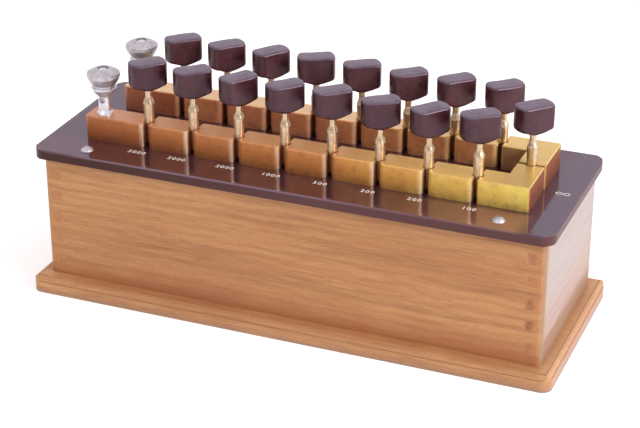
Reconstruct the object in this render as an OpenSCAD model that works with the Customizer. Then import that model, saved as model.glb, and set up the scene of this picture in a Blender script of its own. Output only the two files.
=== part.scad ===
// Plug resistance box: a moulded wooden case with an ebonite top panel, two
// rows of brass blocks bridged by seventeen taper plugs, a pair of binding
// terminals at one end, and sixteen wound coils hanging under the panel.
// Units are mm. X runs along the case (terminals at -X), Y from front to
// back (front wall at -Y), Z up. The origin is the middle of the underside.

/* [Case] */
// Length of the case body over the end boards
body_l = 252.4; // [250:0.2:300]
// Depth of the case body, front to back
body_d = 87.6; // [84:0.1:120]
// Height of the case body
body_h = 62.6; // [58:0.2:90]
// Radius worn on the upright corners of the case
corner_r = 2.5; // [0.5:0.1:4]
// Thickness of the case boards
board_t = 9; // [5:0.5:9]
// Number of alternating fingers at each corner joint
fingers = 11; // [5:2:15]
// Thickness of the moulded plinth
plinth_h = 8.4; // [6.4:0.1:14]
// How far the plinth stands out past the ends of the body
plinth_end = 6.8; // [5:0.1:12]
// How far the plinth stands out past the front and back of the body
plinth_side = 8; // [5:0.1:12]

/* [Panel] */
// Thickness of the ebonite panel
panel_t = 5; // [3:0.5:8]
// How far the panel stands out past the ends of the body
panel_end = 4; // [0:0.1:8]
// How far the panel stands out past the front and back of the body
panel_side = 3.65; // [0:0.05:8]
// How far the panel sits off the middle of the body, along its length
panel_dx = -0.85; // [-2:0.05:2]
// Corner radius of the panel
panel_r = 7.5; // [1:0.5:10]

/* [Blocks] */
// Height of the brass blocks
block_h = 12; // [8:0.5:16]
// Depth of each block in front of its plugs
block_front = 5.6; // [4:0.1:8]
// Depth of each block behind its plugs
block_back = 7.4; // [4:0.1:9]
// Radius of the upright edges of the terminal and row blocks
block_r = 2.8; // [0.5:0.1:3.5]
// Distance from one plug to the next
pitch = 23.7; // [20:0.1:28]
// Air gap between neighbouring blocks
gap = 2.2; // [1.5:0.1:3.5]
// Position of the first plug along the case
first_x = -79.6; // [-90:0.1:-70]
// How far the rear row is set along from the front row
rear_dx = -0.8; // [-2:0.1:2]
// Centre line of the front row
row_front = -20.65; // [-24:0.05:-14]
// Centre line of the rear row
row_rear = 20.35; // [14:0.05:24]
// Left end of the two terminal blocks
rows_x0 = -112.2; // [-118:0.1:-104]
// Right end of the two end blocks
rows_x1 = 112.1; // [100:0.1:118]
// Width of the cross bar that joins the rows
bar_w = 13.2; // [8:0.1:14]
// Position of the gap in the cross bar
gap17_y = -0.45; // [-4:0.05:6]

/* [Plugs] */
// Radius of the plug taper level with the block tops
pin_r = 2.35; // [2:0.05:3]
// Growth of the taper radius for each millimetre of height
pin_slope = 0.03; // [0.02:0.005:0.08]
// Running clearance between a plug and its socket
fit = 0.06; // [0.02:0.01:0.1]
// Depth of the plug tip below the block tops
pin_depth = 11; // [8:0.5:11.5]
// Radius of the grip, seen from above
grip_r = 9.3; // [8:0.1:12]
// Thickness of the grip across its flats
grip_t = 10.8; // [6:0.1:12]
// Height of the grip top above the block tops
grip_top = 30.6; // [26:0.1:36]

/* [Terminals] */
// Position of the two terminals along the case
term_x = -103.6; // [-108:0.1:-98]
// Radius of the clamping nut
nut_r = 8.1; // [6:0.1:10]
// Radius of the cross hole for a wire
wire_r = 1.5; // [1:0.1:2]

/* [Hidden] */
body_z = plinth_h;                      // underside of the boards
panel_z = plinth_h + body_h;            // underside of the panel
deck = panel_z + panel_t;               // top of the panel
top = deck + block_h;                   // tops of the brass blocks
bar_x = rows_x1 - bar_w / 2;            // centre line of the cross bar
stud_r = 2;
front_turn = [47, 42, 56, 47, 43, 39, 49, 38]; // how far each grip is turned
rear_turn = [44, 48, 52, 28, 32, 41, 47, 44];
end_turn = 47;
// each plug was lapped to its own socket, so they stand at slightly
// different heights: how far each sits below the tallest setting
front_seat = [-0.4, 0, 0, 0, -0.7, 0.6, 0.8, -0.2];
rear_seat = [1.7, 1.5, 1.6, 1.2, 1.5, 2.3, 1.8, 1.4];
end_seat = 0.5;
bob_x = [0, 1, 2, 3, 4, 5, 6, 7];

// place along the row of plug k (0 to 7), and of stud i (0 to 8)
function plug_x(k, y) = first_x + k * pitch + (y > 0 ? rear_dx : 0);
function stud_x(i, y) = plug_x(i, y) - pitch / 2;

c_wood = [0.74, 0.52, 0.34];
c_ebon = [0.11, 0.09, 0.10];
c_brass = [0.80, 0.58, 0.30];
c_nickel = [0.80, 0.80, 0.82];
c_copper = [0.72, 0.42, 0.26];

// ---- small helpers ----------------------------------------------------

// rectangle in plan with rounded corners
module rrect(x0, x1, y0, y1, r) {
    translate([x0 + r, y0]) square([x1 - x0 - 2 * r, y1 - y0]);
    translate([x0, y0 + r]) square([x1 - x0, y1 - y0 - 2 * r]);
    for (x = [x0 + r, x1 - r], y = [y0 + r, y1 - r])
        translate([x, y]) circle(r = r, $fn = 48);
}

// block from plan rectangle with rounded upright edges
module slab(x0, x1, y0, y1, z, h, r) {
    translate([0, 0, z]) linear_extrude(h) rrect(x0, x1, y0, y1, r);
}

// ---- wooden case ------------------------------------------------------

// section of the plinth: fascia, quirk, quarter-round bead and flat ledge
module plinth_profile(half) {
    f = plinth_h - 2.9;   // top of the fascia
    z = f + 0.5;          // foot of the bead
    q = 2;                // radius of the bead
    c = half - q - 0.5;   // centre of the bead
    translate([-half, 0]) square([2 * half, f]);
    translate([-half + 0.9, 0]) square([2 * half - 1.8, z + 0.3]);
    translate([-c, 0]) square([2 * c, z + q]);
    translate([-c + 0.6, 0]) square([2 * c - 1.2, plinth_h]);
    for (s = [-1, 1])
        intersection() {
            translate([s * c, z]) circle(r = q, $fn = 64);
            translate([s > 0 ? c - 0.5 : -c - q - 0.5, z]) square([q + 1, q + 1]);
        }
}

module plinth_screw_at() {
    for (x = [-100, 0, 100], s = [-1, 1])
        translate([x, s * (body_d / 2 - board_t / 2), 0]) children();
    for (s = [-1, 1])
        translate([s * (body_l / 2 - board_t / 2), 0, 0]) children();
}

module plinth() {
    hx = body_l / 2 + plinth_end;
    hy = body_d / 2 + plinth_side;
    color(c_wood) difference() {
        intersection() {
            translate([0, hy + 1, 0]) rotate([90, 0, 0])
                linear_extrude(2 * hy + 2) plinth_profile(hx);
            translate([-hx - 1, 0, 0]) rotate([90, 0, 90])
                linear_extrude(2 * hx + 2) plinth_profile(hy);
            slab(-hx, hx, -hy, hy, -1, plinth_h + 2, 5);
        }
        // groove between the bead and the ledge
        translate([0, 0, plinth_h - 1]) linear_extrude(2) difference() {
            translate([-hx + 2.5, -hy + 2.5]) square([2 * hx - 5, 2 * hy - 5]);
            translate([-hx + 3.1, -hy + 3.1]) square([2 * hx - 6.2, 2 * hy - 6.2]);
        }
        plinth_screw_at() {
            translate([0, 0, -1]) cylinder(r = 1.8, h = plinth_h + 2, $fn = 32);
            translate([0, 0, -0.01]) cylinder(r = 3.6, h = 0.51, $fn = 32);
            translate([0, 0, 0.5]) cylinder(r1 = 3.6, r2 = 1.8, h = 1.8, $fn = 32);
        }
    }
}

module panel_screw_at() {
    for (x = [-104.7, 101.8], s = [-1, 1])
        translate([x, s * (body_d / 2 - 5.15), 0]) children();
}

// pilot holes in the boards for the screws from above and below
module pilots() {
    panel_screw_at() translate([0, 0, panel_z - 13])
        cylinder(r = 1.6, h = 14, $fn = 32);
    plinth_screw_at() translate([0, 0, body_z - 1])
        cylinder(r = 1.8, h = 17, $fn = 32);
}

// outline of the assembled case, with its upright corners worn round
module case_form() {
    slab(-body_l / 2, body_l / 2, -body_d / 2, body_d / 2, body_z, body_h, corner_r);
}

// one long board; its ends are notched for the fingers of the end boards
module long_board(s) {
    f = body_h / fingers;
    color(c_wood) difference() {
        intersection() {
            case_form();
            translate([-body_l / 2 - 1, s > 0 ? body_d / 2 - board_t : -body_d / 2 - 1, body_z - 1])
                cube([body_l + 2, board_t + 1, body_h + 2]);
        }
        for (i = [1:2:fingers - 2], e = [-1, 1])
            translate([e > 0 ? body_l / 2 - board_t : -body_l / 2 - 1,
                    s > 0 ? body_d / 2 - board_t - 1 : -body_d / 2 - 1,
                    body_z + i * f])
                cube([board_t + 1, board_t + 2, f]);
        pilots();
    }
}

module front_wall() long_board(-1);
module rear_wall() long_board(1);

// one end board; its fingers fill the notches of the long boards
module end_board(s) {
    f = body_h / fingers;
    e = 0.02;
    x0 = s > 0 ? body_l / 2 - board_t + e : -body_l / 2 - 1;
    color(c_wood) difference() {
        intersection() {
            case_form();
            union() {
                translate([x0, -body_d / 2 + board_t + e, body_z - 1])
                    cube([board_t - e + 1, body_d - 2 * board_t - 2 * e, body_h + 2]);
                for (i = [1:2:fingers - 2])
                    translate([x0, -body_d / 2 - 1, body_z + i * f + e])
                        cube([board_t - e + 1, body_d + 2, f - 2 * e]);
            }
        }
        pilots();
    }
}

module left_end() end_board(-1);
module right_end() end_board(1);

// ---- ebonite panel ----------------------------------------------------

module stud_at() {
    for (i = [0:8], y = [row_front, row_rear])
        translate([stud_x(i, y), y, 0]) children();
}

module top_panel() {
    x = body_l / 2 + panel_end;
    y = body_d / 2 + panel_side;
    color(c_ebon) difference() {
        soft_box(panel_dx - x, panel_dx + x, -y, y, panel_z, panel_t, panel_r, 0.6, 0.4);
        stud_at() translate([0, 0, panel_z - 1])
            cylinder(r = stud_r + 0.1, h = panel_t + 2, $fn = 48);
        panel_screw_at() translate([0, 0, panel_z - 1])
            cylinder(r = 1.7, h = panel_t + 2, $fn = 32);
    }
}

// ---- brass blocks -----------------------------------------------------

// tapered hollow for a plug; half of it falls in each neighbour
module socket(x, y) {
    r0 = pin_r + fit - pin_slope * (block_h + 1);
    r1 = pin_r + fit + pin_slope * 1;
    translate([x, y, deck - 1]) cylinder(r1 = r0, r2 = r1, h = block_h + 2, $fn = 64);
    translate([x, y, top - 0.5]) cylinder(r1 = pin_r + fit, r2 = pin_r + fit + 0.6, h = 0.6, $fn = 64);
}

// tapped hole in the underside of a block
module tap(x, y) {
    translate([x, y, deck - 1]) cylinder(r = stud_r, h = 9, $fn = 48);
}

// upright section a0..a1 by h with its top corners cut by b and, where bot
// isn't 0, its lower corners by bot
module cut_section(a0, a1, h, b, bot) {
    polygon(concat(
        bot > 0 ? [[a0, bot], [a0 + bot, 0], [a1 - bot, 0], [a1, bot]] : [[a0, 0], [a1, 0]],
        [[a1, h - b], [a1 - b, h], [a0 + b, h], [a0, h - b]]));
}

// box in plan x0..x1, y0..y1 with rounded upright edges and bevelled rims
module soft_box(x0, x1, y0, y1, z, h, r, b, bot = 0) {
    intersection() {
        slab(x0, x1, y0, y1, z, h, r);
        translate([0, y1 + 1, z]) rotate([90, 0, 0])
            linear_extrude(y1 - y0 + 2) cut_section(x0, x1, h, b, bot);
        translate([x0 - 1, 0, z]) rotate([90, 0, 90])
            linear_extrude(x1 - x0 + 2) cut_section(y0, y1, h, b, bot);
    }
}

// brass block with a small bevel around its top
module brass_body(x0, x1, y0, y1, r) {
    soft_box(x0, x1, y0, y1, deck, block_h, r, 0.45);
}

// front and back edge of each row
function y_lo(y) = y - block_front;
function y_hi(y) = y + block_back;

module terminal_block(y) {
    color(c_brass) difference() {
        brass_body(rows_x0, plug_x(0, y) - gap / 2, y_lo(y), y_hi(y), block_r);
        socket(plug_x(0, y), y);
        tap(stud_x(0, y), y);
        translate([term_x, y, top - 8]) cylinder(r = 2, h = 9, $fn = 48);
    }
}

module front_terminal_block() terminal_block(row_front);
module rear_terminal_block() terminal_block(row_rear);

module row_blocks(y) {
    color(c_brass) for (i = [0:6]) difference() {
        brass_body(plug_x(i, y) + gap / 2, plug_x(i + 1, y) - gap / 2,
            y_lo(y), y_hi(y), block_r);
        socket(plug_x(i, y), y);
        socket(plug_x(i + 1, y), y);
        tap(stud_x(i + 1, y), y);
    }
}

module front_row_blocks() row_blocks(row_front);
module rear_row_blocks() row_blocks(row_rear);

// end block: a leg in the row and an arm reaching to the middle gap
module end_block(y, s) {
    x0 = plug_x(7, y) + gap / 2;
    tip = gap17_y - s * gap / 2;
    color(c_brass) difference() {
        union() {
            brass_body(x0, rows_x1, y_lo(y), y_hi(y), 1.2);
            if (s > 0)
                brass_body(rows_x1 - bar_w, rows_x1, y_lo(y), tip, 1.2);
            else
                brass_body(rows_x1 - bar_w, rows_x1, tip, y_hi(y), 1.2);
        }
        socket(plug_x(7, y), y);
        socket(bar_x, gap17_y);
        tap(stud_x(8, y), y);
    }
}

module front_end_block() end_block(row_front, 1);
module rear_end_block() end_block(row_rear, -1);

// ---- terminals --------------------------------------------------------

seat_z = top + 14.6; // clamping face of the post
wash_t = 1.2;
nut_z = seat_z + wash_t;

// turned post: foot, neck with the cross hole, bell, clamping face, thread
module terminal_post(y) {
    color(c_nickel) translate([term_x, y, 0]) difference() {
        union() {
            translate([0, 0, top - 7.5]) cylinder(r = 1.98, h = 7.6, $fn = 48);
            rotate_extrude($fn = 96) union() {
                translate([0, top]) square([4, 1.2]);
                translate([0, top + 1.2]) polygon([[0, 0], [4, 0], [3, 1.2], [0, 1.2]]);
                translate([0, top + 2.4]) square([3, 7.2]);
                translate([0, top + 9.6]) polygon([[0, 0], [3, 0], [3.7, 1], [5, 2.3], [5.9, 3.5], [6.2, 4.3], [6.2, 4.7], [5.9, 5], [0, 5]]);
            }
            translate([0, 0, seat_z]) cylinder(r = 1.98, h = 8.8, $fn = 48);
        }
        translate([0, 10, top + 8]) rotate([90, 0, 0]) cylinder(r = wire_r, h = 20, $fn = 48);
    }
}

module front_terminal_post() terminal_post(row_front);
module rear_terminal_post() terminal_post(row_rear);

// loose washer that stays under the nut
module terminal_washer(y) {
    color(c_nickel) translate([term_x, y, seat_z + 0.02]) difference() {
        cylinder(r = 5.4, h = wash_t - 0.04, $fn = 64);
        translate([0, 0, -1]) cylinder(r = 2.08, h = 4, $fn = 48);
    }
}

module front_terminal_washer() terminal_washer(row_front);
module rear_terminal_washer() terminal_washer(row_rear);

// domed nut: narrow foot, wide milled belt, dome with the open thread
module terminal_nut(y) {
    r = nut_r;
    color(c_nickel) translate([term_x, y, nut_z]) difference() {
        rotate_extrude($fn = 96) union() {
            polygon([[0, 0], [5.7, 0], [6, 0.3], [6.5, 1], [7.2, 2.3], [r - 0.2, 3.8], [r, 4.2], [0, 4.2]]);
            translate([0, 4.2]) square([r, 1.7]);
            intersection() {
                translate([0, 5.9 - 10.3]) circle(r = 13.1, $fn = 128);
                translate([0, 5.9]) square([r, 4]);
            }
        }
        for (k = [0:39]) rotate([0, 0, k * 9]) translate([r + 0.28, 0, 3.9])
            cylinder(r = 0.5, h = 2.2, $fn = 16);
        translate([0, 0, -1]) cylinder(r = 2.06, h = 13, $fn = 48);
        translate([0, 0, 7.85]) cylinder(r1 = 2.06, r2 = 2.96, h = 0.9, $fn = 48);
    }
}

module front_terminal_nut() terminal_nut(row_front);
module rear_terminal_nut() terminal_nut(row_rear);

// ---- screws, studs and coils ------------------------------------------

// round-headed screw with a slot
module panel_screws() {
    color(c_nickel) panel_screw_at() difference() {
        union() {
            translate([0, 0, panel_z - 12]) cylinder(r = 1.55, h = 12 + panel_t + 0.2, $fn = 32);
            intersection() {
                translate([0, 0, deck - 1.7]) sphere(r = 3.6, $fn = 64);
                translate([0, 0, deck]) cylinder(r = 3.15, h = 3, $fn = 64);
            }
        }
        rotate([0, 0, 35]) translate([-5, -0.4, deck + 1.1]) cube([10, 0.8, 3]);
    }
}

// countersunk screws that hold the plinth to the boards
module plinth_screws() {
    color(c_brass) plinth_screw_at() difference() {
        union() {
            translate([0, 0, 2.25]) cylinder(r = 1.75, h = 20, $fn = 32);
            translate([0, 0, 0.52]) cylinder(r1 = 3.55, r2 = 1.75, h = 1.75, $fn = 32);
        }
        translate([-5, -0.4, 0]) cube([10, 0.8, 1.2]);
    }
}

// stud in the underside of every block; sixteen carry a coil
nut_h = 3.5;
bob_h = 38;
bob_r = 9;
bob_z = panel_z - nut_h - 2.2 - bob_h;

module block_studs() {
    color(c_brass) for (i = [0:8], y = [row_front, row_rear]) {
        z0 = i < 8 ? bob_z - 5 : panel_z - nut_h - 2.2;
        translate([stud_x(i, y), y, z0])
            cylinder(r = stud_r - 0.02, h = deck + 7.5 - z0, $fn = 48);
    }
}

module hex_nut(z, h) {
    translate([0, 0, z]) difference() {
        cylinder(r = 4.2, h = h, $fn = 6);
        translate([0, 0, -1]) cylinder(r = stud_r, h = h + 2, $fn = 48);
    }
}

module stud_nuts() {
    color(c_brass) {
        stud_at() hex_nut(panel_z - nut_h, nut_h - 0.02);
        for (i = bob_x, y = [row_front, row_rear])
            translate([stud_x(i, y), y, 0]) hex_nut(bob_z - 3.2, 3.18);
    }
}

module coil_bobbins() {
    color([0.62, 0.44, 0.26]) for (i = bob_x, y = [row_front, row_rear])
        translate([stud_x(i, y), y, bob_z]) difference() {
            union() {
                cylinder(r = bob_r, h = 2, $fn = 64);
                cylinder(r = 4.2, h = bob_h, $fn = 48);
                translate([0, 0, bob_h - 2]) cylinder(r = bob_r, h = 2, $fn = 64);
            }
            translate([0, 0, -1]) cylinder(r = stud_r + 0.05, h = bob_h + 2, $fn = 48);
        }
}

module coil_windings() {
    color(c_copper) for (i = bob_x, y = [row_front, row_rear])
        translate([stud_x(i, y), y, bob_z + 2.02]) difference() {
            cylinder(r = 7.6, h = bob_h - 4.04, $fn = 64);
            translate([0, 0, -1]) cylinder(r = 4.22, h = bob_h, $fn = 48);
        }
}

// two leads for each coil: one to its own stud, one to the next stud
module wire_ring(x, z) {
    translate([x, 0, z]) rotate_extrude($fn = 48)
        translate([stud_r + 0.5, 0]) circle(r = 0.45, $fn = 16);
}

module coil_leads() {
    wz = panel_z - nut_h - 0.55;
    long_z = wz - 0.95;
    color(c_copper) for (i = bob_x, y = [row_front, row_rear])
        translate([stud_x(i, y), y, 0]) {
            // short lead to the coil's own stud
            wire_ring(0, wz);
            translate([0, stud_r + 0.5, wz]) rotate([-90, 0, 0])
                cylinder(r = 0.4, h = 9.25 - stud_r, $fn = 16);
            translate([0, 9.75, wz]) sphere(r = 0.4, $fn = 16);
            translate([0, 9.75, bob_z + bob_h - 6]) cylinder(r = 0.4, h = wz - bob_z - bob_h + 6, $fn = 16);
            // long lead to the next stud along
            wire_ring(pitch, long_z);
            translate([0, -9.75, bob_z + bob_h - 6]) cylinder(r = 0.4, h = long_z - bob_z - bob_h + 6, $fn = 16);
            translate([0, -9.75, long_z]) sphere(r = 0.4, $fn = 16);
            a = atan2(9.75, pitch);
            len = norm([pitch, 9.75]) - stud_r - 0.5;
            translate([0, -9.75, long_z]) rotate([0, 0, a]) rotate([0, 90, 0])
                cylinder(r = 0.4, h = len, $fn = 16);
        }
}

// ---- plugs ------------------------------------------------------------

neck_z = 12.6; // foot of the narrow neck above the block tops
neck_r = 1.6;
grip_z = neck_z + 3.6;

// taper, turned shoulder, narrow neck and the stub that holds the grip; d
// lowers everything above the block top
module pin(x, y, d) {
    r_tip = pin_r - pin_slope * pin_depth;
    sh = neck_z - 3.4 - d;
    r_sh = pin_r + pin_slope * sh;
    dr = r_sh - neck_r;
    color(c_brass) translate([x, y, top]) {
        translate([0, 0, -pin_depth]) cylinder(r1 = r_tip - 0.4, r2 = r_tip, h = 0.6, $fn = 64);
        translate([0, 0, -pin_depth + 0.6]) cylinder(r1 = r_tip, r2 = r_sh, h = pin_depth - 0.6 + sh, $fn = 64);
        translate([0, 0, sh]) cylinder(r1 = r_sh, r2 = neck_r + dr * 0.78, h = 1, $fn = 64);
        translate([0, 0, sh + 1]) cylinder(r1 = neck_r + dr * 0.78, r2 = neck_r + dr * 0.22, h = 1.3, $fn = 64);
        translate([0, 0, sh + 2.3]) cylinder(r1 = neck_r + dr * 0.22, r2 = neck_r, h = 1.1, $fn = 64);
        translate([0, 0, neck_z - d]) cylinder(r = neck_r, h = grip_z - neck_z, $fn = 64);
        translate([0, 0, grip_z - d]) cylinder(r = 1.5, h = 8.3, $fn = 48);
    }
}

// turned ebonite grip cut to two flats, with a coned underside
module grip(x, y, a, d) {
    z1 = grip_top;
    z0 = grip_z + 0.02;
    r = grip_r;
    e = 1.3;
    color(c_ebon) translate([x, y, top - d]) rotate([0, 0, a]) difference() {
        intersection() {
            rotate_extrude($fn = 96) union() {
                translate([0, z0 + 3.8]) square([r, z1 - e - z0 - 3.8]);
                translate([0, z0 + 3.8]) square([r - e, z1 - z0 - 3.8]);
                translate([r - e, z1 - e]) circle(r = e, $fn = 48);
                polygon([[0, z0], [3, z0], [3.6, z0 + 0.35], [r - 1.1, z0 + 2.4], [r - 0.3, z0 + 3], [r, z0 + 3.8], [0, z0 + 3.8]]);
            }
            translate([-12, 0, 0]) rotate([90, 0, 90]) linear_extrude(24) union() {
                translate([-grip_t / 2, z0 - 1]) square([grip_t, z1 - e - z0 + 1]);
                translate([-grip_t / 2 + e, z0 - 1]) square([grip_t - 2 * e, z1 - z0 + 1]);
                for (s = [-1, 1]) translate([s * (grip_t / 2 - e), z1 - e]) circle(r = e, $fn = 48);
            }
        }
        translate([0, 0, z0 - 1]) cylinder(r = 1.52, h = 9.6, $fn = 48);
    }
}

module front_pin_1() pin(plug_x(0, row_front), row_front, front_seat[0]);
module front_pin_2() pin(plug_x(1, row_front), row_front, front_seat[1]);
module front_pin_3() pin(plug_x(2, row_front), row_front, front_seat[2]);
module front_pin_4() pin(plug_x(3, row_front), row_front, front_seat[3]);
module front_pin_5() pin(plug_x(4, row_front), row_front, front_seat[4]);
module front_pin_6() pin(plug_x(5, row_front), row_front, front_seat[5]);
module front_pin_7() pin(plug_x(6, row_front), row_front, front_seat[6]);
module front_pin_8() pin(plug_x(7, row_front), row_front, front_seat[7]);
module rear_pin_1() pin(plug_x(0, row_rear), row_rear, rear_seat[0]);
module rear_pin_2() pin(plug_x(1, row_rear), row_rear, rear_seat[1]);
module rear_pin_3() pin(plug_x(2, row_rear), row_rear, rear_seat[2]);
module rear_pin_4() pin(plug_x(3, row_rear), row_rear, rear_seat[3]);
module rear_pin_5() pin(plug_x(4, row_rear), row_rear, rear_seat[4]);
module rear_pin_6() pin(plug_x(5, row_rear), row_rear, rear_seat[5]);
module rear_pin_7() pin(plug_x(6, row_rear), row_rear, rear_seat[6]);
module rear_pin_8() pin(plug_x(7, row_rear), row_rear, rear_seat[7]);
module end_pin() pin(bar_x, gap17_y, end_seat);

module front_grip_1() grip(plug_x(0, row_front), row_front, front_turn[0], front_seat[0]);
module front_grip_2() grip(plug_x(1, row_front), row_front, front_turn[1], front_seat[1]);
module front_grip_3() grip(plug_x(2, row_front), row_front, front_turn[2], front_seat[2]);
module front_grip_4() grip(plug_x(3, row_front), row_front, front_turn[3], front_seat[3]);
module front_grip_5() grip(plug_x(4, row_front), row_front, front_turn[4], front_seat[4]);
module front_grip_6() grip(plug_x(5, row_front), row_front, front_turn[5], front_seat[5]);
module front_grip_7() grip(plug_x(6, row_front), row_front, front_turn[6], front_seat[6]);
module front_grip_8() grip(plug_x(7, row_front), row_front, front_turn[7], front_seat[7]);
module rear_grip_1() grip(plug_x(0, row_rear), row_rear, rear_turn[0], rear_seat[0]);
module rear_grip_2() grip(plug_x(1, row_rear), row_rear, rear_turn[1], rear_seat[1]);
module rear_grip_3() grip(plug_x(2, row_rear), row_rear, rear_turn[2], rear_seat[2]);
module rear_grip_4() grip(plug_x(3, row_rear), row_rear, rear_turn[3], rear_seat[3]);
module rear_grip_5() grip(plug_x(4, row_rear), row_rear, rear_turn[4], rear_seat[4]);
module rear_grip_6() grip(plug_x(5, row_rear), row_rear, rear_turn[5], rear_seat[5]);
module rear_grip_7() grip(plug_x(6, row_rear), row_rear, rear_turn[6], rear_seat[6]);
module rear_grip_8() grip(plug_x(7, row_rear), row_rear, rear_turn[7], rear_seat[7]);
module end_grip() grip(bar_x, gap17_y, end_turn, end_seat);

plinth();
front_wall();
rear_wall();
left_end();
right_end();
top_panel();
front_terminal_block();
rear_terminal_block();
front_row_blocks();
rear_row_blocks();
front_end_block();
rear_end_block();
front_terminal_post();
rear_terminal_post();
front_terminal_washer();
rear_terminal_washer();
front_terminal_nut();
rear_terminal_nut();
panel_screws();
plinth_screws();
block_studs();
stud_nuts();
coil_bobbins();
coil_windings();
coil_leads();
front_pin_1();
front_pin_2();
front_pin_3();
front_pin_4();
front_pin_5();
front_pin_6();
front_pin_7();
front_pin_8();
rear_pin_1();
rear_pin_2();
rear_pin_3();
rear_pin_4();
rear_pin_5();
rear_pin_6();
rear_pin_7();
rear_pin_8();
end_pin();
front_grip_1();
front_grip_2();
front_grip_3();
front_grip_4();
front_grip_5();
front_grip_6();
front_grip_7();
front_grip_8();
rear_grip_1();
rear_grip_2();
rear_grip_3();
rear_grip_4();
rear_grip_5();
rear_grip_6();
rear_grip_7();
rear_grip_8();
end_grip();
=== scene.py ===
"""Looks for the plug resistance box: wood, ebonite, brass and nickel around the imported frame."""
import math
import random

import bpy
from mathutils import Matrix, Vector


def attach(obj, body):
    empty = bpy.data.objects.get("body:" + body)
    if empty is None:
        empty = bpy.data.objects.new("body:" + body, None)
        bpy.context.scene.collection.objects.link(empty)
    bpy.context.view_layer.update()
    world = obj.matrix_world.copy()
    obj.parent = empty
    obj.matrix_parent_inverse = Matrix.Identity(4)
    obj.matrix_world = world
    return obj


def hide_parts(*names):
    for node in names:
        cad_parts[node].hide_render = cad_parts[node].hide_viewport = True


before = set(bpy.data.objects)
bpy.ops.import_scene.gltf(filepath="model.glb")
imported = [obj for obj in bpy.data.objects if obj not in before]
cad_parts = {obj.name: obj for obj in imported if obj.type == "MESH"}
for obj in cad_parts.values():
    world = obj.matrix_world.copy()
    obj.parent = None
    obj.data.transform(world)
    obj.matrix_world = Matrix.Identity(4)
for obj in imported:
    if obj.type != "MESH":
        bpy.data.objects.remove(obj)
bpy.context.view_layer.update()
MM = 0.001

# ---- sizes repeated from the part, in mm ---------------------------------
DECK = 76.0          # top of the panel
TOP = 88.0           # tops of the brass blocks
PITCH = 23.7
FIRST_X = -79.6
REAR_DX = -0.8       # the rear row is set a little to the left
ROW_F, ROW_R = -20.65, 20.35
BAR_X, GAP_Y = 105.5, -0.45
TERM_X = -103.6
SEAT = TOP + 14.6
NUT_Z = SEAT + 1.2
FRONT_TURN = [47, 42, 56, 47, 43, 39, 49, 38]
REAR_TURN = [44, 48, 52, 28, 32, 41, 47, 44]
END_TURN = 47
FRONT_SEAT = [-0.4, 0, 0, 0, -0.7, 0.6, 0.8, -0.2]
REAR_SEAT = [1.7, 1.5, 1.6, 1.2, 1.5, 2.3, 1.8, 1.4]
END_SEAT = 0.5


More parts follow.
